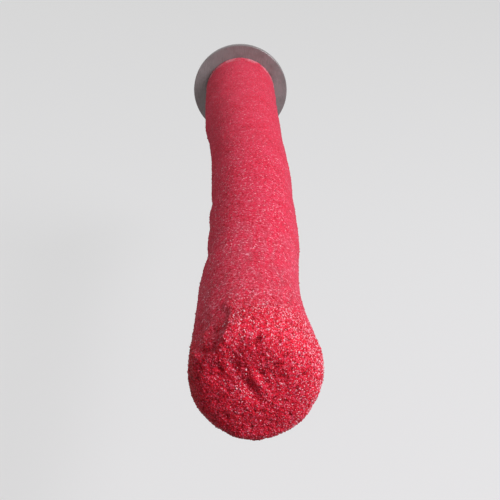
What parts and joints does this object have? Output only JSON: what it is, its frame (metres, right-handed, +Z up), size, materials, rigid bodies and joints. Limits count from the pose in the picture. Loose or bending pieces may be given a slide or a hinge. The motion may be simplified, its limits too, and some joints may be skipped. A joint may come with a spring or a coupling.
{
  "type": "bird perch",
  "caption": "Crooked round bird perch, a branch under a dyed grit coat, with a threaded stud, washers and a wing nut that clamp its butt to cage bars.",
  "frame": {"origin": "where the bolt's axis meets the cage-side face of the inner washer, the face that rests on the bars", "axes": "+Y along the bolt, out through the cage to the wing nut; the perch runs along -Y; +Z up"},
  "size_m": [0.0336, 0.2217, 0.0318],
  "materials": {
    "wood": "sawn, unfinished",
    "grit": "coarse red grit in binder",
    "plated_steel": "dull zinc plating"
  },
  "bodies": {
    "perch": {"wood_core": "wood", "grit_coat": "grit", "hanger_bolt": "plated_steel"},
    "inner_washer": {"inner_washer": "plated_steel"},
    "outer_washer": {"outer_washer": "plated_steel"},
    "wing_nut": {"wing_nut": "plated_steel"}
  },
  "joints": [
    {"name": "inner_washer_slide", "type": "slide", "parent": "perch", "child": "inner_washer", "axis": [0, 1, 0], "range_m": [0, 0.002]},
    {"name": "outer_washer_slide", "type": "slide", "parent": "perch", "child": "outer_washer", "axis": [0, 1, 0], "range_m": [-0.00255, 0.01652]},
    {"name": "wing_nut_spin", "type": "hinge", "parent": "outer_washer", "child": "wing_nut", "pos_m": [0, 0.0066, 0], "axis": [0, 1, 0], "range_deg": [-720, 4680]}
  ],
  "couplings": [
    {"joint": "outer_washer_slide", "follows": "wing_nut_spin", "m_per_rad": 0.00020213}
  ]
}
